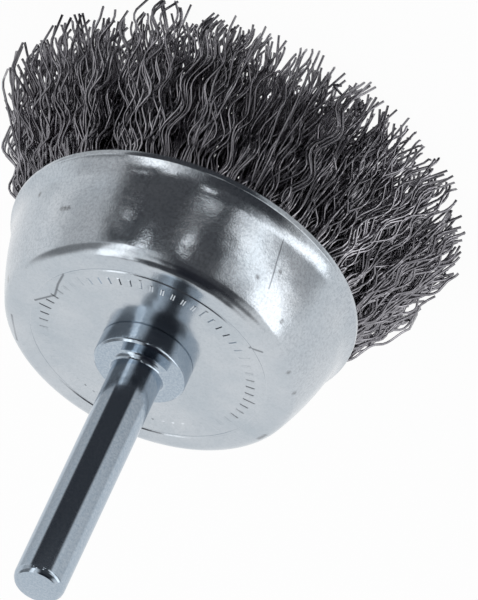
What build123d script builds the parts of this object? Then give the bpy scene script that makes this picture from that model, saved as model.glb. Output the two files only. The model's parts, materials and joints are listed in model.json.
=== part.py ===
from build123d import *
from math import hypot, radians, tan
import os

# Cup brush with a drill shank, standing on the cut ends of its wires.
# The origin is on the axis, in the plane of the wire ends, and +Z runs up the shank.

# Shank, turned in one piece with its collar and its riveted spigot
shank_d = 6.0
shank_grip = 31.8
shank_bevel_length = 0.8
shank_bevel_width = 0.25
shank_root_bevel = 0.8
collar_d = 11.0
collar_height = 2.65
collar_bevel = 0.3
spigot_d = 6.5
spigot_clearance = 0.05
rivet_d = 9.6
rivet_height = 1.5
rivet_bevel = 0.9

# Cup, drawn from one sheet: a flat back, a rounded shoulder, a full side and a flared mouth
cup_d = 41.6
cup_depth = 12.2
cup_wall = 0.9
flare_width = 1.2
flare_length = 4.2
side_width = 2.0
shoulder_width = 2.0
shoulder_length = 1.35

# Inner cup, a pressed dish that the rivet pulls against the back of the cup
inner_wall = 0.9
inner_cup_depth = 8.6

# Retaining ring, square in section, which every wire is folded over
ring_width = 1.4
ring_depth = 3.0

# Wires: each strand is folded into a U over the ring, and stands for a small bundle
wire_length = 16.3
wire_radius = 0.62
wire_clearance = 0.2
fold_clearance = 0.05
fold_corner = 45
crimp_half_wave = 3.2
crimp_height = 0.6
crimp_to_lip = 1.0
trim_splay = 6.7
trim_inner_d = 22.4

# Strands: how many, and how far apart along their crimp neighbours start
sector_count = 16
pair_count = 3
crimp_shifts = 7
sector_shift = 5
pair_shift = 3
cut_off_waves = 2

# Heights and radii that follow from those sizes
rim_z = wire_length
back_z = rim_z + cup_depth
collar_z = back_z + collar_height
shank_end_z = collar_z + shank_grip
shank_r = shank_d / 2
collar_r = collar_d / 2
spigot_r = spigot_d / 2
spigot_hole_r = spigot_r + spigot_clearance
inside_z = back_z - cup_wall
inner_base_z = inside_z - inner_wall
rivet_z = inner_base_z - rivet_height

rim_r = cup_d / 2
waist_r = rim_r - flare_width
waist_z = rim_z + flare_length
shoulder_r = waist_r - side_width
back_r = shoulder_r - shoulder_width


# The shank is one turned profile, from the rivet head up to the bevelled end
with BuildPart() as shank:
    with BuildSketch(Plane.XZ):
        with BuildLine():
            Polyline(
                (0, rivet_z),
                (0, shank_end_z),
                (shank_r - shank_bevel_width, shank_end_z),
                (shank_r, shank_end_z - shank_bevel_length),
                (shank_r, collar_z + shank_root_bevel),
                (shank_r + shank_root_bevel, collar_z),
                (collar_r - collar_bevel, collar_z),
                (collar_r, collar_z - collar_bevel),
                (collar_r, back_z),
                (spigot_r, back_z),
                (spigot_r, inner_base_z),
                (rivet_d / 2, inner_base_z),
                (rivet_d / 2 - rivet_bevel, rivet_z),
                close=True,
            )
        make_face()
    revolve(axis=Axis.Z)
shank.part.label = "shank"

# The cup is drawn to an outer line with a rounded shoulder and side, and its wall follows inside
with BuildPart() as cup:
    with BuildSketch(Plane.XZ):
        with BuildLine():
            back = Line((spigot_hole_r, back_z), (back_r, back_z))
            shoulder = TangentArc(back @ 1, (shoulder_r, back_z - shoulder_length), tangent=back % 1)
            slope = shoulder % 1
            inner_shoulder = shoulder @ 1 + Vector(slope.Y, -slope.X) * cup_wall
            side = TangentArc(shoulder @ 1, (waist_r, waist_z), tangent=slope)
            Polyline(
                side @ 1,
                (rim_r, rim_z),
                (rim_r - cup_wall, rim_z),
                (waist_r - cup_wall, waist_z),
                inner_shoulder,
                (back_r, inside_z),
                (spigot_hole_r, inside_z),
                back @ 0,
            )
        make_face()
    revolve(axis=Axis.Z)
cup.part.label = "cup"

# A fold turns by the same angle at each of its corners, and clears the corners of the square ring
fold_reach = hypot(ring_width, ring_width) / 2 + fold_clearance + wire_radius / 2
fold_step = fold_reach * tan(radians(fold_corner / 2))

# The ring and the folds over it fill the room between the cup's shoulder and the inner cup
strand_room = wire_radius + wire_clearance
ring_r = inner_shoulder.X - strand_room - fold_reach
ring_z = back_z - ring_depth
inner_cup_r = ring_r - fold_reach - strand_room

# The inner cup is a disc with a straight skirt that keeps the wires out against the cup
with BuildPart() as inner_cup:
    with BuildSketch(Plane.XY.offset(inside_z - inner_cup_depth)):
        Circle(inner_cup_r)
    extrude(amount=inner_cup_depth)
    with BuildSketch(Plane.XY.offset(inside_z - inner_cup_depth)):
        Circle(inner_cup_r - inner_wall)
    extrude(amount=inner_cup_depth - inner_wall, mode=Mode.SUBTRACT)
    with Locations((0, 0, inside_z)):
        Hole(spigot_hole_r)
inner_cup.part.label = "inner_cup"

# The retaining ring lies hidden in the folds of all the strands
with BuildPart() as retaining_ring:
    with BuildSketch(Plane.XZ):
        with Locations((ring_r, ring_z)):
            Rectangle(ring_width, ring_width)
    revolve(axis=Axis.Z)
retaining_ring.part.label = "retaining_ring"

# The strands stand in rows between the inner cup's skirt and the cup's lip, and fan out below
row_count = 2 * pair_count
strand_angle = 360 / (sector_count * pair_count)
rim_inner_r = inner_cup_r + strand_room
rim_outer_r = rim_r - cup_wall - strand_room
trim_inner_r = trim_inner_d / 2 + wire_radius
trim_outer_r = rim_r + trim_splay - wire_radius


def row_radius(row, z):
    """Distance of a row of strands from the axis, at a height below the lip."""
    share = row / (row_count - 1)
    at_rim = rim_inner_r + (rim_outer_r - rim_inner_r) * share
    at_trim = trim_inner_r + (trim_outer_r - trim_inner_r) * share
    return at_rim + (at_trim - at_rim) * (rim_z - z) / rim_z


def leg_points(row, phase):
    """Points (radius, sideways, height) of a leg, from below its cut end up to the ring's side."""
    points = []
    side = crimp_height if row % 2 else -crimp_height
    z = (phase - cut_off_waves) * crimp_half_wave
    while z < rim_z - crimp_to_lip:
        points.append((row_radius(row, z), side, z))
        side = -side
        z += crimp_half_wave
    lip_r = row_radius(row, rim_z)
    points.append((lip_r, 0, rim_z))
    fold_r = ring_r + (fold_reach if row >= pair_count else -fold_reach)
    # A leg that would cut the ring's lower corner first runs straight down the ring's side
    if abs(lip_r - ring_r) < fold_reach - wire_clearance:
        points.append((fold_r, 0, ring_z - ring_width / 2))
    points.append((fold_r, 0, ring_z + fold_step))
    return points


def strand_points(pair, phase):
    """Points of a whole strand: up its outer leg, over the ring and down its inner leg."""
    return [
        *leg_points(pair_count + pair, phase),
        (ring_r + fold_step, 0, ring_z + fold_reach),
        (ring_r - fold_step, 0, ring_z + fold_reach),
        *reversed(leg_points(pair_count - 1 - pair, 1 - phase)),
    ]


def crimped_wires(sector):
    """One sector of the fill: a strand of each pair of rows, side by side, cut level below."""
    with BuildPart() as wires:
        for pair in range(pair_count):
            turn = Rotation(0, 0, (sector * pair_count + pair) * strand_angle)
            shift = (sector * sector_shift + pair * pair_shift) % crimp_shifts
            points = strand_points(pair, (shift + 1) / (crimp_shifts + 1))
            with BuildLine() as route:
                Polyline(*[(turn * Pos(*point)).position for point in points])
            start = Plane(route.line @ 0, x_dir=(turn * Pos(0, 1, 0)).position, z_dir=route.line % 0)
            with BuildSketch(start):
                RegularPolygon(wire_radius, 3, rotation=-90, align=None)
            sweep(path=route.line, transition=Transition.RIGHT)
        split(bisect_by=Plane.XY)
    wires.part.label = f"crimped_wires_{sector + 1:02d}"
    return wires.part


os.makedirs("parts", exist_ok=True)
export_step(shank.part, "parts/shank.step")
export_step(cup.part, "parts/cup.step")
export_step(inner_cup.part, "parts/inner_cup.step")
export_step(retaining_ring.part, "parts/retaining_ring.step")
for sector in range(sector_count):
    wires = crimped_wires(sector)
    export_step(wires, f"parts/{wires.label}.step")
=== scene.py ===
import json
from math import atan2, cos, pi, radians, sin

import bpy
import numpy as np
from mathutils import Matrix, Vector

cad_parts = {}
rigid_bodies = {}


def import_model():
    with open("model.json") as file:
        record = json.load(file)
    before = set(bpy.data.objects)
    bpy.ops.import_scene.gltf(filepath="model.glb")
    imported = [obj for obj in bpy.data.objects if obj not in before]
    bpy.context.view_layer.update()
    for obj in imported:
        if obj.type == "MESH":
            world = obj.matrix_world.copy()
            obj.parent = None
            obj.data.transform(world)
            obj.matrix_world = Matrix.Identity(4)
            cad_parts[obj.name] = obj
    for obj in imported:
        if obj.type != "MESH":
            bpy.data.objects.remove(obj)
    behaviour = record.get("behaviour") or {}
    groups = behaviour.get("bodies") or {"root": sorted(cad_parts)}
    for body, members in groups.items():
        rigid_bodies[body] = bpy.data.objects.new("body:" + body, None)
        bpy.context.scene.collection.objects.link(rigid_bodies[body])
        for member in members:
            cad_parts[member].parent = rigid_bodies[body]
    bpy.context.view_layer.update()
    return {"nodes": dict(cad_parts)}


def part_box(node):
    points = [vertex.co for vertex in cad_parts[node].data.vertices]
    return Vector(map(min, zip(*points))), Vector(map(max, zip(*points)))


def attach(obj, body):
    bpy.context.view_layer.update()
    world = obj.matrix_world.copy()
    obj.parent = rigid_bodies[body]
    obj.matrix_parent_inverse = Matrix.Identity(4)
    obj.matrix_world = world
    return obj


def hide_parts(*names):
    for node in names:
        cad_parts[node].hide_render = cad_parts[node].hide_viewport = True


# Cup brush on its drill shank, standing on the cut ends of its wires.
# Lengths are written in millimetres and turned to metres by MM.

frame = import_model()
bpy.ops.object.select_all(action="DESELECT")

MM = 0.001
SECTORS = sorted(name for name in frame["nodes"] if name.startswith("crimped_wires"))

# Heights and radii, read from the frame
shank_low, shank_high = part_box("shank")
cup_low, cup_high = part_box("cup")
ring_low, ring_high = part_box("retaining_ring")
SHANK_END = shank_high.z
RIVET_FACE = shank_low.z
COLLAR_R = shank_high.x
BACK = cup_high.z
RIM = cup_low.z
RIM_R = cup_high.x

# Sizes of the shank and the cup, as they are made
SHANK_R = 3.0 * MM
SHANK_BEVEL_LENGTH = 0.8 * MM
SHANK_BEVEL_WIDTH = 0.25 * MM
ROOT_FILLET = 0.8 * MM
COLLAR_HEIGHT = 2.65 * MM
COLLAR_BEVEL = 0.3 * MM
SPIGOT_R = 3.25 * MM
RIVET_R = 4.8 * MM
RIVET_HEIGHT = 1.5 * MM
RIVET_BEVEL = 0.9 * MM
WALL = 0.9 * MM
BACK_R = 15.6 * MM
GROOVE_R = 14.15 * MM
GROOVE_WIDTH = 0.22 * MM
GROOVE_DEPTH = 0.08 * MM
SHOULDER_R = 17.6 * MM
SHOULDER_DEPTH = 1.35 * MM
SIDE_R = 19.6 * MM
FLARE_R = 19.84 * MM
CREASE_R = 20.69 * MM

# Heights above the lip of where the cup's flare starts, where it steepens, its crease and its band
SIDE_RISE = 4.2 * MM
FLARE_RISE = 3.0 * MM
CREASE_RISE = 0.86 * MM
BAND_RISE = 0.66 * MM
LIP_ROUNDING = 0.12 * MM

# Plain strokes stamped round the back, where the real cup carries its lettering
STROKE_GROUPS = 10
STROKES_IN_GROUP = 6
STROKE_INNER_R = 11.8 * MM
STROKE_OUTER_R = 12.95 * MM
LONG_STROKE_OUTER_R = 13.4 * MM
STROKE_WIDTH = 0.42 * MM
STROKE_HEIGHT = 0.05 * MM
STROKE_SUNK = 0.03 * MM
STROKE_TAPER = (0.84, 0.34, 1)

# Wires of about 0.3 mm, folded over the ring and crimped below the lip in rounded waves. Each one has
# three sides, and smooth shading makes it look round
WIRE_R = 0.168 * MM
WIRE_SIDES = 3
WIRE_STATIONS = 23
WIRES_IN_SECTOR = 212
FIRST_SEED = 100
HALF_WAVE = 3.0 * MM
BEND_HALF = 0.68 * MM
BENDS = 6
CRIMP_HEIGHT = 0.9 * MM
CRIMP_START = 1.0 * MM
CRIMP_RISE = 1.2 * MM
LIP_INNER_R = 13.3 * MM
LIP_OUTER_R = 19.35 * MM
LIP_GAP = 0.08 * MM
TRIM_INNER_R = 11.6 * MM
TRIM_OUTER_R = 25.9 * MM
TRIM_LIMIT_R = 28.0 * MM
TRIM_SOFTNESS = 1.2 * MM
RING_HALF_WIDTH = 0.7 * MM
RING_R = ring_high.x - RING_HALF_WIDTH
RING_Z = (ring_low.z + ring_high.z) / 2
FOLD_REACH_MM = (1.25, 1.8)

# How much wires differ, as standard deviations, with the share of strays and the most that is cut off.
# A nest is a bundle of two to six neighbours, and a stray is a wire that leaves its nest
NEST_SIZES = (2, 6)
NEST_LEAN = radians(2.4)
WIRE_LEAN = radians(1.8)
OUTER_LEAN = radians(2.6)
STRAY_LEAN = radians(6.0)
NEST_DRIFT = radians(4.8)
WIRE_DRIFT = radians(3.0)
STRAY_DRIFT = radians(12.0)
STRAY_SHARE = 0.025
CURL_OUT = 0.5 * MM
CURL_SIDE = 0.85 * MM
STRAY_CURL = 1.2 * MM
CUT_SPREAD = 0.75 * MM
CUT_LIMIT = 2.4 * MM

# Wear as it lies on the cup: (start, end, width) in millimetres
SCRATCHES = [
    ((-8.43, -18.07, 19.02), (-8.80, -17.28, 21.56), 0.17),
    ((-8.80, -17.28, 21.56), (-9.30, -16.11, 24.52), 0.17),
    ((1.27, -18.18, 25.49), (0.0, -16.61, 28.07), 0.16),
    ((13.90, -0.31, 28.5), (12.09, -2.91, 28.5), 0.26),
    ((12.09, -2.91, 28.5), (12.28, -5.15, 28.5), 0.26),
    ((12.28, -5.15, 28.5), (12.18, -7.19, 28.5), 0.26),
    ((15.61, 4.48, 28.31), (13.91, 8.69, 28.25), 0.3),
    ((-10.16, -9.79, 28.5), (-11.56, -10.08, 28.5), 0.3),
]
SPOTS = [
    ((15.5, -11.05, 23.1), (14.8, -11.95, 23.2), 0.55),
    ((18.46, -7.08, 19.83), (18.46, -7.08, 19.9), 0.6),
    ((-15.8, 5.1, 28.05), (-15.4, 6.2, 28.1), 0.6),
    ((-15.13, -7.71, 27.75), (-15.13, -7.71, 27.8), 0.55),
    ((-16.73, -4.17, 27.52), (-16.73, -4.17, 27.6), 0.55),
    ((17.61, 0.31, 26.85), (17.5, 0.31, 27.1), 0.6),
    ((-7.59, -17.04, 24.35), (-7.59, -17.04, 24.4), 0.5),
    ((-9.64, -16.69, 22.14), (-9.64, -16.69, 22.2), 0.45),
    ((-12.08, -13.42, 25.88), (-12.08, -13.42, 26.0), 0.5),
]

# The photograph's view: the shank leans this far from the line of sight, and the picture is rolled
LEAN = radians(55.56)
ROLL = radians(115.08)
BACK_FROM_CAMERA = Vector((-10.3277, 6.0555, 1571.5)) * MM
PICTURE_HEIGHT = 600
PIXELS_PER_METRE = 8928.4

# Dark parts of the room, as (from, to, softness) across, the same upwards, and how dark. Across is in
# degrees from the camera's side towards +X, and upwards is the sine of the elevation
DARK_PARTS = [
    ((-52, 23, 12), (0.16, 2.0, 0.07), 0.95),
    ((-76, 30, 10), (0.66, 2.0, 0.1), 0.84),
    ((-24, 67, 6), (-2.0, -0.32, 0.08), 0.96),
    ((-24, 62, 9), (-0.36, 0.2, 0.08), 0.93),
    ((-84, -14, 8), (-2.0, -0.42, 0.1), 0.42),
    ((67, 122, 8), (-2.0, -0.42, 0.1), 0.42),
    ((-400, 400, 10), (0.935, 2.0, 0.025), 0.96),
    ((52, 122, 12), (0.24, 0.74, 0.1), 0.72),
    ((62, 96, 10), (-0.3, 0.22, 0.08), 0.35),
    ((-84, -42, 8), (-0.36, -0.15, 0.05), 0.5),
]

# Lamps: name, azimuth and elevation in degrees, size in metres, roll in degrees, watts
SOFTBOXES = [
    ("softbox_strip", 332.7, 45.8, (1.25, 0.2), 56, 0.85),
    ("softbox_side", 207, 1.5, (0.46, 0.24), -14, 0.4),
    ("softbox_low", 240, -9, (0.5, 0.14), -14, 0.2),
    ("softbox_spot_1", 277, 1.5, (0.06, 0.08), 0, 0.036),
    ("softbox_spot_2", 304, 8, (0.07, 0.08), 30, 0.036),
    ("softbox_spot_3", 274, -13, (0.16, 0.03), 0, 0.03),
    ("softbox_spot_4", 319, -4, (0.06, 0.03), 0, 0.012),
]
LAMP_DISTANCE = 0.8


def linear(hex_colour):
    """Linear RGBA of an sRGB hex colour."""
    value = hex_colour.lstrip("#")
    channels = [int(value[i:i + 2], 16) / 255 for i in (0, 2, 4)]
    return (*[c / 12.92 if c <= 0.04045 else ((c + 0.055) / 1.055) ** 2.4 for c in channels], 1.0)


def add(tree, kind, settings=None, **links):
    """Adds a node. Settings are its properties or the values of its inputs.

    Links are sockets for its inputs, which are named, or numbered as i0, i1 and so on."""
    node = tree.nodes.new(kind)
    for key, value in (settings or {}).items():
        if isinstance(key, str) and hasattr(node, key):
            setattr(node, key, value)
        else:
            node.inputs[key].default_value = value
    for key, socket in links.items():
        numbered = key[0] == "i" and key[1:].isdigit()
        tree.links.new(socket, node.inputs[int(key[1:]) if numbered else key])
    return node


def new_material(name):
    """An empty node material and its output node."""
    material = bpy.data.materials.new(name)
    material.use_nodes = True
    material.node_tree.nodes.clear()
    return material, material.node_tree, material.node_tree.nodes.new("ShaderNodeOutputMaterial")


def scratch(tree, place, start, end, width):
    """How much a point lies in a scratch: 1 on the line from start to end, 0 beside it. Millimetres."""
    start, end = Vector(start) * MM, Vector(end) * MM
    line = end - start
    along = line / max(line.length_squared, 1e-12)
    offset = add(tree, "ShaderNodeVectorMath", {"operation": "SUBTRACT", 1: start}, i0=place)
    share = add(tree, "ShaderNodeVectorMath", {"operation": "DOT_PRODUCT", 1: along},
                i0=offset.outputs["Vector"])
    share = add(tree, "ShaderNodeMath", {"operation": "ADD", "use_clamp": True, 1: 0.0},
                i0=share.outputs["Value"])
    foot = add(tree, "ShaderNodeVectorMath", {"operation": "SCALE", 0: line}, Scale=share.outputs["Value"])
    away = add(tree, "ShaderNodeVectorMath", {"operation": "DISTANCE"}, i0=offset.outputs["Vector"],
               i1=foot.outputs["Vector"])
    fade = add(tree, "ShaderNodeMapRange", {"From Min": 0.25 * width * MM, "From Max": 0.75 * width * MM,
                                            "To Min": 1.0, "To Max": 0.0}, Value=away.outputs["Value"])
    return fade.outputs["Result"]


def most(tree, values):
    """The greatest of several values."""
    top = values[0]
    for value in values[1:]:
        top = add(tree, "ShaderNodeMath", {"operation": "MAXIMUM"}, i0=top, i1=value).outputs["Value"]
    return top


def zinc_plated_steel():
    """Drawn sheet, zinc plated and passivated: satin and bluish white.

    The drawing has left faint waves, the plating a fine grain, and use scratches and brown spots."""
    material, tree, output = new_material("zinc_plated_drawn_steel")
    place = add(tree, "ShaderNodeTexCoord").outputs["Object"]
    parts = add(tree, "ShaderNodeSeparateXYZ", i0=place)
    # Waves of the drawn sheet, 6 mm apart, its dents of 2.4 mm, and the plating's grain of 0.25 mm
    waves = add(tree, "ShaderNodeTexNoise", {"Scale": 170.0, "Detail": 1.0, "Roughness": 0.4}, Vector=place)
    dents = add(tree, "ShaderNodeTexNoise", {"Scale": 420.0, "Detail": 1.0, "Roughness": 0.4}, Vector=place)
    grain = add(tree, "ShaderNodeTexNoise", {"Scale": 4000.0, "Detail": 2.0, "Roughness": 0.7}, Vector=place)
    cloud = add(tree, "ShaderNodeTexNoise", {"Scale": 130.0, "Detail": 4.0, "Roughness": 0.6}, Vector=place)
    specks = add(tree, "ShaderNodeTexNoise", {"Scale": 2900.0, "Detail": 2.0, "Roughness": 0.8}, Vector=place)
    tone = add(tree, "ShaderNodeMapRange", {"From Min": 0.32, "From Max": 0.68}, Value=cloud.outputs["Fac"])
    clean = add(tree, "ShaderNodeMix", {"data_type": "RGBA", 6: linear("#B7BFC6"), 7: linear("#C8CDD2")},
                i0=tone.outputs["Result"])
    # The grain is coarse where the sheet was stretched, and faint on the flat back
    drawn = add(tree, "ShaderNodeMapRange", {"From Min": BACK - 1.6 * MM, "From Max": BACK - 0.2 * MM,
                                             "To Min": 1.0, "To Max": 0.3}, Value=parts.outputs["Z"])
    speckle = add(tree, "ShaderNodeMapRange", {"From Min": 0.42, "From Max": 0.68, "To Max": 0.36},
                  Value=specks.outputs["Fac"])
    speckle = add(tree, "ShaderNodeMath", {"operation": "MULTIPLY"}, i0=speckle.outputs["Result"],
                  i1=drawn.outputs["Result"])
    coarse = add(tree, "ShaderNodeMath", {"operation": "MULTIPLY"}, i0=grain.outputs["Fac"],
                 i1=drawn.outputs["Result"])
    speckled = add(tree, "ShaderNodeMix", {"data_type": "RGBA", 7: linear("#7E848C")},
                   i0=speckle.outputs["Value"], i6=clean.outputs[2])
    marks = most(tree, [scratch(tree, place, *line) for line in SCRATCHES])
    marks = add(tree, "ShaderNodeMath", {"operation": "MULTIPLY", 1: 0.62}, i0=marks)
    scratched = add(tree, "ShaderNodeMix", {"data_type": "RGBA", 7: linear("#3C4046")},
                    i0=marks.outputs["Value"], i6=speckled.outputs[2])
    spots = most(tree, [scratch(tree, place, *line) for line in SPOTS])
    spots = add(tree, "ShaderNodeMath", {"operation": "MULTIPLY"}, i0=spots, i1=specks.outputs["Fac"])
    spotted = add(tree, "ShaderNodeMix", {"data_type": "RGBA", 7: linear("#2E2620")},
                  i0=spots.outputs["Value"], i6=scratched.outputs[2])
    sheen = add(tree, "ShaderNodeMapRange", {"From Min": 0.3, "From Max": 0.7, "To Min": 0.13, "To Max": 0.2},
                Value=cloud.outputs["Fac"])
    wavy = add(tree, "ShaderNodeBump", {"Strength": 0.6, "Distance": 0.00018}, Height=waves.outputs["Fac"])
    dented = add(tree, "ShaderNodeBump", {"Strength": 0.8, "Distance": 0.00006}, Height=dents.outputs["Fac"],
                 Normal=wavy.outputs["Normal"])
    grainy = add(tree, "ShaderNodeBump", {"Strength": 0.5, "Distance": 0.00002},
                 Height=coarse.outputs["Value"], Normal=dented.outputs["Normal"])
    surface = add(tree, "ShaderNodeBsdfPrincipled", {"Metallic": 1.0},
                  **{"Base Color": spotted.outputs[2], "Roughness": sheen.outputs["Result"],
                     "Normal": grainy.outputs["Normal"]})
    tree.links.new(surface.outputs[0], output.inputs[0])
    return material


def plated_bar():
    """Turned bar, bright zinc plated: bluish and nearly a mirror, with a faint fine grain."""
    material, tree, output = new_material("zinc_plated_turned_steel")
    place = add(tree, "ShaderNodeTexCoord").outputs["Object"]
    stretch = add(tree, "ShaderNodeMapping", {"Scale": (1.0, 1.0, 3.0)}, Vector=place)
    # Marks of the turning tool, and the plating's grain of 0.3 mm
    marks = add(tree, "ShaderNodeTexNoise", {"Scale": 900.0, "Detail": 2.0, "Roughness": 0.6},
                Vector=stretch.outputs["Vector"])
    grain = add(tree, "ShaderNodeTexNoise", {"Scale": 3400.0, "Detail": 2.0, "Roughness": 0.7}, Vector=place)
    tone = add(tree, "ShaderNodeMapRange", {"From Min": 0.3, "From Max": 0.7}, Value=grain.outputs["Fac"])
    colour = add(tree, "ShaderNodeMix", {"data_type": "RGBA", 6: linear("#9FADBA"), 7: linear("#B6C0CA")},
                 i0=tone.outputs["Result"])
    turned_marks = add(tree, "ShaderNodeBump", {"Strength": 0.1, "Distance": 0.00002},
                       Height=marks.outputs["Fac"])
    relief = add(tree, "ShaderNodeBump", {"Strength": 0.1, "Distance": 0.00001}, Height=grain.outputs["Fac"],
                 Normal=turned_marks.outputs["Normal"])
    surface = add(tree, "ShaderNodeBsdfPrincipled", {"Metallic": 1.0, "Roughness": 0.11},
                  **{"Base Color": colour.outputs[2], "Normal": relief.outputs["Normal"]})
    tree.links.new(surface.outputs[0], output.inputs[0])
    return material


def tempered_wire():
    """Drawn carbon steel wire, tempered in oil: grey, and dark among its neighbours, with a narrow shine."""
    material, tree, output = new_material("oil_tempered_steel_wire")
    place = add(tree, "ShaderNodeTexCoord")
    patches = add(tree, "ShaderNodeTexNoise", {"Scale": 300.0, "Detail": 2.0}, Vector=place.outputs["Object"])
    tone = add(tree, "ShaderNodeMapRange", {"From Min": 0.35, "From Max": 0.65}, Value=patches.outputs["Fac"])
    colour = add(tree, "ShaderNodeMix", {"data_type": "RGBA", 6: linear("#88868B"), 7: linear("#B6B4B9")},
                 i0=tone.outputs["Result"])
    surface = add(tree, "ShaderNodeBsdfPrincipled", {"Metallic": 1.0, "Roughness": 0.19},
                  **{"Base Color": colour.outputs[2]})
    tree.links.new(surface.outputs[0], output.inputs[0])
    return material


def pressed_steel():
    """Plain pressed sheet inside the cup: dull, with a faint oily cloud."""
    material, tree, output = new_material("pressed_sheet_steel")
    place = add(tree, "ShaderNodeTexCoord")
    cloud = add(tree, "ShaderNodeTexNoise", {"Scale": 220.0, "Detail": 4.0}, Vector=place.outputs["Object"])
    colour = add(tree, "ShaderNodeMix", {"data_type": "RGBA", 6: linear("#9A9EA2"), 7: linear("#B2B6BA")},
                 i0=cloud.outputs["Fac"])
    surface = add(tree, "ShaderNodeBsdfPrincipled", {"Metallic": 1.0, "Roughness": 0.3},
                  **{"Base Color": colour.outputs[2]})
    tree.links.new(surface.outputs[0], output.inputs[0])
    return material


def arc(start, end, tangent, steps):
    """Points of the circular arc that leaves start along tangent and ends at end, without start."""
    chord = Vector(end) - Vector(start)
    along = Vector(tangent).normalized()
    across = Vector((-along.y, along.x))
    bend = 2 * chord.dot(across) / chord.length_squared
    if abs(bend) < 1e-9:
        return [Vector(end)], along
    radius = 1 / bend
    centre = Vector(start) + across * radius
    turn = 2 * atan2(chord.dot(across), chord.dot(along))
    points = []
    for step in range(1, steps + 1):
        angle = turn * step / steps
        spoke = Vector(start) - centre
        points.append(centre + Vector((spoke.x * cos(angle) - spoke.y * sin(angle),
                                       spoke.x * sin(angle) + spoke.y * cos(angle))))
    last = Vector((along.x * cos(turn) - along.y * sin(turn), along.x * sin(turn) + along.y * cos(turn)))
    return points, last


def turned(name, outline, material, steps=192, sharp=radians(24)):
    """A body turned about the axis from a closed outline of (radius, height) points."""
    bpy.ops.mesh.primitive_plane_add(size=1)
    piece = bpy.context.object
    piece.name = name
    bpy.ops.object.mode_set(mode="EDIT")
    bpy.ops.mesh.select_all(action="SELECT")
    bpy.ops.mesh.merge(type="CENTER")
    bpy.ops.transform.translate(value=(outline[0][0], 0, outline[0][1]))
    for (r0, z0), (r1, z1) in zip(outline, outline[1:]):
        bpy.ops.mesh.extrude_vertices_move(TRANSFORM_OT_translate={"value": (r1 - r0, 0, z1 - z0)})
    if outline[0][0] > 0:
        r0, z0 = outline[-1]
        r1, z1 = outline[0]
        bpy.ops.mesh.extrude_vertices_move(TRANSFORM_OT_translate={"value": (r1 - r0, 0, z1 - z0)})
    bpy.ops.mesh.select_all(action="SELECT")
    bpy.ops.mesh.remove_doubles(threshold=1e-7)
    bpy.ops.mesh.select_all(action="SELECT")
    bpy.ops.mesh.spin(steps=steps, angle=2 * pi, center=(0, 0, 0), axis=(0, 0, 1))
    bpy.ops.mesh.select_all(action="SELECT")
    bpy.ops.mesh.remove_doubles(threshold=1e-6)
    bpy.ops.mesh.normals_make_consistent(inside=False)
    bpy.ops.object.mode_set(mode="OBJECT")
    bpy.ops.object.shade_smooth_by_angle(angle=sharp)
    piece.data.materials.clear()
    piece.data.materials.append(material)
    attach(piece, "root")
    piece.select_set(False)
    return piece


def shank_outline():
    """Outline from the bevelled end down to the riveted head."""
    collar_z = BACK + COLLAR_HEIGHT
    root, _ = arc((SHANK_R, collar_z + ROOT_FILLET), (SHANK_R + ROOT_FILLET, collar_z), (0, -1), 8)
    points = [
        (0, SHANK_END),
        (SHANK_R - 0.55 * MM, SHANK_END),
        (SHANK_R - 0.42 * MM, SHANK_END - 0.04 * MM),
        (SHANK_R - SHANK_BEVEL_WIDTH, SHANK_END - 0.2 * MM),
        (SHANK_R - 0.08 * MM, SHANK_END - 0.5 * MM),
        (SHANK_R, SHANK_END - SHANK_BEVEL_LENGTH - 0.1 * MM),
        (SHANK_R, collar_z + ROOT_FILLET),
        *[tuple(p) for p in root],
        (COLLAR_R - COLLAR_BEVEL, collar_z),
        (COLLAR_R - 0.07 * MM, collar_z - COLLAR_BEVEL + 0.1 * MM),
        (COLLAR_R, collar_z - COLLAR_BEVEL - 0.08 * MM),
        (COLLAR_R, BACK + 0.12 * MM),
        (COLLAR_R - 0.12 * MM, BACK),
        (SPIGOT_R, BACK),
        (SPIGOT_R, RIVET_FACE + RIVET_HEIGHT),
        (RIVET_R, RIVET_FACE + RIVET_HEIGHT),
        (RIVET_R - RIVET_BEVEL, RIVET_FACE),
        (0, RIVET_FACE),
    ]
    return points


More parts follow.
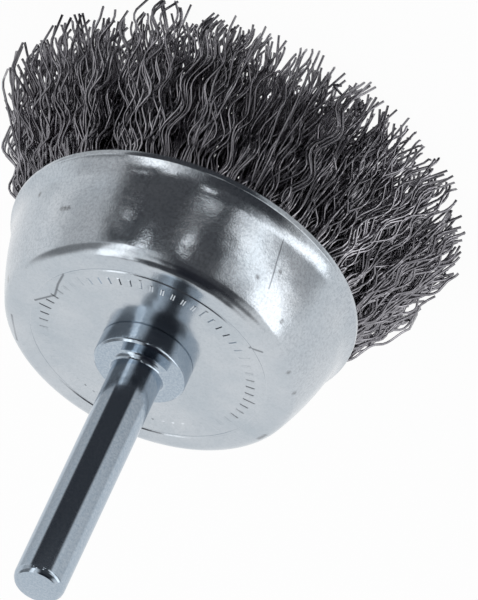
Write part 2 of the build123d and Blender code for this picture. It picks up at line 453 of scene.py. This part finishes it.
def cup_outline():
    """Outer line from the spigot hole to the lip, then back inside at the wall's thickness."""
    outer = [(SPIGOT_R, BACK)]
    outer += [(GROOVE_R - GROOVE_WIDTH, BACK), (GROOVE_R - GROOVE_WIDTH / 4, BACK - GROOVE_DEPTH)]
    outer += [(GROOVE_R + GROOVE_WIDTH / 4, BACK - GROOVE_DEPTH), (GROOVE_R + GROOVE_WIDTH, BACK)]
    outer.append((BACK_R, BACK))
    shoulder, tangent = arc((BACK_R, BACK), (SHOULDER_R, BACK - SHOULDER_DEPTH), (1, 0), 12)
    side, tangent = arc(shoulder[-1], (SIDE_R, RIM + SIDE_RISE), tangent, 12)
    # The mouth flares ever more steeply to a crease, and ends in a rounded band
    flare, tangent = arc(side[-1], (FLARE_R, RIM + FLARE_RISE), tangent, 3)
    turn_out, _ = arc(flare[-1], (CREASE_R, RIM + CREASE_RISE), tangent, 12)
    crease, _ = arc(turn_out[-1], (RIM_R - 0.03 * MM, RIM + BAND_RISE), (0.74, -0.67), 3)
    band, _ = arc(crease[-1], (RIM_R - 0.05 * MM, RIM + LIP_ROUNDING), (0.12, -0.99), 4)
    outer += [tuple(point) for point in shoulder + side + flare + turn_out + crease + band]
    outer.append((RIM_R - 0.17 * MM, RIM))
    inner = [(RIM_R - WALL + LIP_ROUNDING, RIM), (RIM_R - WALL, RIM + LIP_ROUNDING)]
    inner.append((RIM_R - WALL - 0.06 * MM, RIM + 0.8 * MM))
    follow = [tuple(point) for point in shoulder[5:] + side + flare]
    for before, here, after in reversed(list(zip(follow, follow[1:], follow[2:]))):
        away = Vector((after[1] - before[1], before[0] - after[0])).normalized() * WALL
        inner.append((here[0] + away.x, here[1] + away.y))
    return outer + inner + [(BACK_R, BACK - WALL), (SPIGOT_R, BACK - WALL)]


def stamped_strokes(material):
    """A ring of strokes: one group, the first stroke longer, is made and then repeated round the axis."""
    bpy.ops.object.select_all(action="DESELECT")
    step = 2 * pi / STROKE_GROUPS / STROKES_IN_GROUP
    low = BACK - STROKE_SUNK
    for index in range(STROKES_IN_GROUP):
        outer = STROKE_OUTER_R if index else LONG_STROKE_OUTER_R
        middle = ((STROKE_INNER_R + outer) / 2, 0, low)
        bpy.ops.mesh.primitive_plane_add(size=1, location=(0, 0, 0))
        if index == 0:
            piece = bpy.context.object
            piece.name = "stamped_strokes"
            bpy.ops.object.mode_set(mode="EDIT")
            bpy.ops.mesh.select_all(action="SELECT")
        bpy.ops.transform.resize(value=(outer - STROKE_INNER_R, STROKE_WIDTH, 1), center_override=(0, 0, 0))
        bpy.ops.transform.translate(value=middle)
        bpy.ops.mesh.extrude_region_move(TRANSFORM_OT_translate={"value": (0, 0, STROKE_SUNK)})
        bpy.ops.mesh.extrude_region_move(TRANSFORM_OT_translate={"value": (0, 0, STROKE_HEIGHT)})
        bpy.ops.transform.resize(value=STROKE_TAPER, center_override=(middle[0], 0, low))
        bpy.ops.mesh.select_linked()
        bpy.ops.transform.rotate(value=-index * step, orient_axis="Z", center_override=(0, 0, 0))
        bpy.ops.mesh.select_all(action="DESELECT")
    bpy.ops.mesh.select_all(action="SELECT")
    turn = 2 * pi / STROKE_GROUPS
    bpy.ops.mesh.spin(steps=STROKE_GROUPS - 1, angle=2 * pi - turn, dupli=True, center=(0, 0, 0),
                      axis=(0, 0, 1))
    bpy.ops.mesh.select_all(action="SELECT")
    bpy.ops.mesh.normals_make_consistent(inside=False)
    bpy.ops.object.mode_set(mode="OBJECT")
    piece.data.materials.append(material)
    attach(piece, "root")
    piece.select_set(False)


def model_wire():
    """One straight wire: a small triangle, extruded once for each station of its line."""
    bpy.ops.mesh.primitive_circle_add(vertices=WIRE_SIDES, radius=WIRE_R, fill_type="NGON")
    straight = bpy.context.object
    straight.name = "straight_wire"
    bpy.ops.object.mode_set(mode="EDIT")
    bpy.ops.mesh.select_all(action="SELECT")
    for _ in range(WIRE_STATIONS - 1):
        bpy.ops.mesh.extrude_region_move(TRANSFORM_OT_translate={"value": (0, 0, 1)})
    bpy.ops.mesh.select_all(action="SELECT")
    bpy.ops.mesh.normals_make_consistent(inside=False)
    bpy.ops.object.mode_set(mode="OBJECT")
    points = np.array([tuple(vertex.co) for vertex in straight.data.vertices])
    faces = [tuple(face.vertices) for face in straight.data.polygons]
    bpy.data.objects.remove(straight)
    return points, faces


def bundle(rng, count, least, most):
    """Neighbouring wires lie in bundles: gives each wire the number of its bundle."""
    numbers = []
    while len(numbers) < count:
        numbers += [numbers[-1] + 1 if numbers else 0] * int(rng.integers(least, most + 1))
    return np.array(numbers[:count])


def wire_lines(count, azimuth, spread, seed):
    """Lines of one sector's wires, (wire, station, xyz) from the fold to the tip, and the wires' turns."""
    rng = np.random.default_rng(seed)
    nest = bundle(rng, count, *NEST_SIZES)
    nests = nest[-1] + 1
    # Bundles fill the ring of the mouth evenly, and the wires of a bundle lie close together
    order = rng.permutation(nests)
    share = (order + rng.random(nests)) / nests
    share = np.clip(share[nest] + rng.normal(0, 0.035, count), 0, 1)
    lip_r = np.sqrt(LIP_INNER_R ** 2 + (LIP_OUTER_R ** 2 - LIP_INNER_R ** 2) * share)
    across = (lip_r - LIP_INNER_R) / (LIP_OUTER_R - LIP_INNER_R)
    turn = (rng.random(nests) - 0.5)[nest] * spread + rng.normal(0, 0.35 * MM, count) / lip_r
    tip_r = TRIM_INNER_R + (TRIM_OUTER_R - TRIM_INNER_R) * across
    stray = rng.random(count) < STRAY_SHARE
    lean = np.arctan2(tip_r - lip_r, RIM)
    lean += NEST_LEAN * rng.normal(0, 1, nests)[nest] + WIRE_LEAN * rng.normal(0, 1, count)
    lean += np.where(across > 0.75, OUTER_LEAN * np.abs(rng.normal(0, 1, nests))[nest], 0)
    lean += np.where(stray, STRAY_LEAN * rng.normal(0, 1, count), 0)
    drift = NEST_DRIFT * rng.normal(0, 1, nests)[nest] + WIRE_DRIFT * rng.normal(0, 1, count)
    drift += np.where(stray, STRAY_DRIFT * rng.normal(0, 1, count), 0)
    cut = np.minimum(np.abs(rng.normal(0, CUT_SPREAD, count)), CUT_LIMIT)

    # Stations along the crimped part: three at each bend, so that the flanks stay straight
    start_z = RIM + CRIMP_START
    length = (start_z - cut) / np.cos(lean) / np.cos(drift)
    half = HALF_WAVE * rng.normal(1.0, 0.03, nests)[nest]
    phase = (rng.random(nests)[nest] + rng.normal(0, 0.05, count)) % 1.0
    number = np.arange(BENDS)[None, :]
    bends = (number + phase[:, None]) * half[:, None]
    first_side = np.where(rng.random(nests) < 0.5, 1, -1)[nest][:, None]
    sign = np.where(number % 2 == 0, 1.0, -1.0) * first_side
    height = CRIMP_HEIGHT * np.clip(rng.normal(1.0, 0.13, count), 0.6, 1.35)[:, None] * sign
    along = np.stack([bends - BEND_HALF, bends, bends + BEND_HALF], axis=2).reshape(count, -1)
    flank = 2 * BEND_HALF / half[:, None]
    wave = np.stack([height * (1 - flank), height * (1 - 0.68 * flank), height * (1 - flank)],
                    axis=2).reshape(count, -1)
    along = np.concatenate([np.zeros((count, 1)), along, length[:, None]], axis=1)
    end_wave = height[:, -1] * (1 - 2 * np.abs(length - bends[:, -1]) / half)
    wave = np.concatenate([np.zeros((count, 1)), wave, end_wave[:, None]], axis=1)
    # A bend that falls past the cut end is drawn up to it
    last = length[:, None] * (1 - 0.004 * np.arange(along.shape[1])[::-1][None, :])
    first = 0.002 * length[:, None] * np.arange(along.shape[1])[None, :]
    held = np.clip(along, first, last)
    past = along > last
    swing = np.where(past, wave + (held - along) * np.sign(-wave) * 2 * CRIMP_HEIGHT / HALF_WAVE, wave)
    wave = np.clip(swing, -CRIMP_HEIGHT, CRIMP_HEIGHT)
    wave *= np.clip(held / CRIMP_RISE, 0, 1)
    along = held

    plane = (2 * pi * rng.random(nests))[nest] + rng.normal(0, 0.25, count)
    far = along / length[:, None]
    curl_out = rng.normal(0, CURL_OUT, count)[:, None] * far ** 2
    curl_side = rng.normal(0, CURL_SIDE, count)[:, None] * far ** 2
    curl_out += np.where(stray, rng.normal(0, STRAY_CURL, count), 0)[:, None] * far ** 3
    radial = lip_r[:, None] + along * (np.sin(lean) * np.cos(drift))[:, None] + wave * np.cos(plane)[:, None]
    radial += curl_out
    sideways = wave * np.sin(plane)[:, None] + along * np.sin(drift)[:, None] + curl_side
    down = start_z - along * (np.cos(lean) * np.cos(drift))[:, None]
    # No wire cuts the lip
    inside_lip = RIM_R - WALL - WIRE_R - LIP_GAP
    radial = np.where(down > RIM - 0.3 * MM, np.minimum(radial, inside_lip), radial)

    # Above: round the ring's outer or inner side, and over its top
    fold = rng.uniform(*FOLD_REACH_MM, count) * MM
    outward = np.where(across > 0.5, 1.0, -1.0)
    corner = cos(pi / 4)
    fold_r = np.stack([RING_R + 0.02 * MM * outward, RING_R + outward * fold * corner,
                       RING_R + outward * fold], axis=1)
    fold_z = np.stack([RING_Z + fold, RING_Z + fold * corner, RING_Z + 0 * fold], axis=1)
    radial = np.concatenate([fold_r, radial], axis=1)
    sideways = np.concatenate([np.zeros((count, 3)), sideways], axis=1)
    down = np.concatenate([fold_z, down], axis=1)
    # The longest strays bend back inside the trim circle
    turn = (azimuth + turn)[:, None]
    x = radial * np.cos(turn) - sideways * np.sin(turn)
    y = radial * np.sin(turn) + sideways * np.cos(turn)
    reach = np.hypot(x, y)
    soft = TRIM_LIMIT_R - TRIM_SOFTNESS
    held = np.where(reach > soft, soft + TRIM_SOFTNESS * np.tanh((reach - soft) / TRIM_SOFTNESS), reach)
    return np.stack([x * held / reach, y * held / reach, np.maximum(down, WIRE_R)], axis=2), turn[:, 0]


def bend_wires(name, lines, turn, straight_points, straight_faces):
    """Copies the straight wire along each line, and joins the copies of one sector."""
    tangent = np.gradient(lines, axis=1)
    tangent /= np.linalg.norm(tangent, axis=2, keepdims=True)
    beside = np.stack([-np.sin(turn), np.cos(turn), 0 * turn], axis=1)[:, None, :]
    first = beside - np.sum(beside * tangent, axis=2, keepdims=True) * tangent
    first /= np.linalg.norm(first, axis=2, keepdims=True)
    second = np.cross(tangent, first)
    station = np.rint(straight_points[:, 2]).astype(int)
    points = (lines[:, station] + first[:, station] * straight_points[None, :, 0, None]
              + second[:, station] * straight_points[None, :, 1, None])
    count = len(lines)
    mesh = bpy.data.meshes.new(name)
    size = len(straight_points)
    faces = [tuple(corner + size * copy for corner in face) for copy in range(count)
             for face in straight_faces]
    mesh.from_pydata(points.reshape(-1, 3).tolist(), [], faces)
    mesh.shade_smooth()
    piece = bpy.data.objects.new(name, mesh)
    bpy.context.scene.collection.objects.link(piece)
    return piece


zinc = zinc_plated_steel()
bar = plated_bar()
wire = tempered_wire()
sheet_steel = pressed_steel()

shank_piece = turned("turned_shank", shank_outline(), bar, steps=128)
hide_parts("shank")
cup_piece = turned("drawn_cup", cup_outline(), zinc, steps=256)
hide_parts("cup")
stamped_strokes(zinc)

for name in ("inner_cup", "retaining_ring"):
    frame["nodes"][name].data.materials.clear()
    frame["nodes"][name].data.materials.append(sheet_steel)

straight_points, straight_faces = model_wire()
sector_angle = 2 * pi / len(SECTORS)
for index, node in enumerate(SECTORS):
    middle = (index + 0.5) * sector_angle
    lines, turn = wire_lines(WIRES_IN_SECTOR, middle, sector_angle, seed=FIRST_SEED + index)
    fill = bend_wires(f"wire_fill_{index + 1:02d}", lines, turn, straight_points, straight_faces)
    fill.data.materials.append(wire)
    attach(fill, "root")
    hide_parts(node)


def white_floor():
    """Pale studio sheet. Reflections look past it to the lit room, and it keeps a light shadow."""
    material, tree, output = new_material("studio_floor")
    path = add(tree, "ShaderNodeLightPath")
    matt = add(tree, "ShaderNodeBsdfDiffuse", {"Color": linear("#FAFAFA")})
    glow = add(tree, "ShaderNodeEmission", {"Color": linear("#FFFFFF"), "Strength": 1.0})
    lit = add(tree, "ShaderNodeMixShader", {0: 0.96}, i1=matt.outputs[0], i2=glow.outputs[0])
    clear = add(tree, "ShaderNodeBsdfTransparent")
    seen = add(tree, "ShaderNodeMixShader", i0=path.outputs["Is Glossy Ray"], i1=lit.outputs[0],
               i2=clear.outputs[0])
    tree.links.new(seen.outputs[0], output.inputs[0])
    return material


bpy.ops.mesh.primitive_plane_add(size=6)
floor = bpy.context.object
floor.name = "floor"
floor.data.materials.append(white_floor())


def shade(tree, turn, height, across, up, depth):
    """Light left by one soft-edged dark part of the room, given as ranges (from, to, softness)."""
    edges = []
    for value, (low, high, soft) in ((turn, across), (height, up)):
        for start, end in ((low - soft, low + soft), (high + soft, high - soft)):
            edges.append(add(tree, "ShaderNodeMapRange", {"interpolation_type": "SMOOTHSTEP",
                                                          "From Min": start, "From Max": end}, Value=value))
    inside = edges[0].outputs["Result"]
    for edge in edges[1:]:
        inside = add(tree, "ShaderNodeMath", {"operation": "MULTIPLY"}, i0=inside,
                     i1=edge.outputs["Result"]).outputs["Value"]
    left = add(tree, "ShaderNodeMath", {"operation": "MULTIPLY_ADD", 1: -depth, 2: 1.0}, i0=inside)
    return left.outputs["Value"]


def studio_world():
    """A white room that is dark behind the camera and overhead, as the bright metal shows it."""
    world = bpy.data.worlds.new("studio")
    bpy.context.scene.world = world
    world.use_nodes = True
    tree = world.node_tree
    tree.nodes.clear()
    output = tree.nodes.new("ShaderNodeOutputWorld")
    path = add(tree, "ShaderNodeLightPath")
    place = add(tree, "ShaderNodeTexCoord")
    parts = add(tree, "ShaderNodeSeparateXYZ", i0=place.outputs["Generated"])
    to_camera = add(tree, "ShaderNodeMath", {"operation": "MULTIPLY", 1: -1.0}, i0=parts.outputs["Y"])
    turn = add(tree, "ShaderNodeMath", {"operation": "ARCTAN2"}, i0=parts.outputs["X"],
               i1=to_camera.outputs["Value"]).outputs["Value"]
    height = parts.outputs["Z"]
    light = None
    for across, up, depth in DARK_PARTS:
        left = shade(tree, turn, height, [radians(value) for value in across], up, depth)
        light = left if light is None else add(tree, "ShaderNodeMath", {"operation": "MULTIPLY"}, i0=light,
                                               i1=left).outputs["Value"]
    room = add(tree, "ShaderNodeMix", {"data_type": "RGBA", 6: linear("#20222A"), 7: linear("#FBFCFD")},
               i0=light)
    seen = add(tree, "ShaderNodeBackground", {"Strength": 1.0}, i0=room.outputs[2])
    white = add(tree, "ShaderNodeBackground", {"Color": linear("#FFFFFF"), "Strength": 1.0})
    both = add(tree, "ShaderNodeMixShader", i0=path.outputs["Is Camera Ray"], i1=seen.outputs[0],
               i2=white.outputs[0])
    tree.links.new(both.outputs[0], output.inputs[0])


def softbox(name, azimuth, elevation, size, roll, watts):
    """A soft lamp that looks at the cup, with its long side rolled about its own axis."""
    lamp = bpy.data.lights.new(name, "AREA")
    lamp.shape = "RECTANGLE"
    lamp.size, lamp.size_y = size
    lamp.energy = watts
    holder = bpy.data.objects.new(name, lamp)
    a, e = radians(azimuth), radians(elevation)
    towards = Vector((cos(a) * cos(e), sin(a) * cos(e), sin(e)))
    over = Vector((-cos(a) * sin(e), -sin(a) * sin(e), cos(e)))
    aside = over.cross(towards)
    long_side = aside * cos(radians(roll)) + over * sin(radians(roll))
    turn = Matrix((long_side, towards.cross(long_side), towards)).transposed()
    where = Vector((0, 0, BACK)) + towards * LAMP_DISTANCE
    holder.matrix_world = Matrix.Translation(where) @ turn.to_4x4()
    bpy.context.scene.collection.objects.link(holder)


studio_world()
for lamp in SOFTBOXES:
    softbox(*lamp)


def place_camera():
    """The camera of the photograph: a long lens, looking down at the shank end, rolled."""
    tilt = pi / 2 - LEAN
    look = Vector((0, cos(tilt), -sin(tilt)))
    over = Vector((0, sin(tilt), cos(tilt)))
    along = Vector((1, 0, 0))
    right = cos(ROLL) * over - sin(ROLL) * along
    below = sin(ROLL) * over + cos(ROLL) * along
    away = BACK_FROM_CAMERA
    where = Vector((0, 0, BACK)) - (away.x * right + away.y * below + away.z * look)
    data = bpy.data.cameras.new("camera")
    data.sensor_fit = "VERTICAL"
    data.sensor_height = 24
    data.lens = PIXELS_PER_METRE * away.z * data.sensor_height / PICTURE_HEIGHT
    data.clip_start = 0.1
    data.clip_end = 20
    camera = bpy.data.objects.new("camera", data)
    turn = Matrix((right, -below, -look)).transposed()
    camera.matrix_world = Matrix.Translation(where) @ turn.to_4x4()
    bpy.context.scene.collection.objects.link(camera)
    bpy.context.scene.camera = camera


place_camera()
bpy.context.scene.view_settings.view_transform = "Standard"
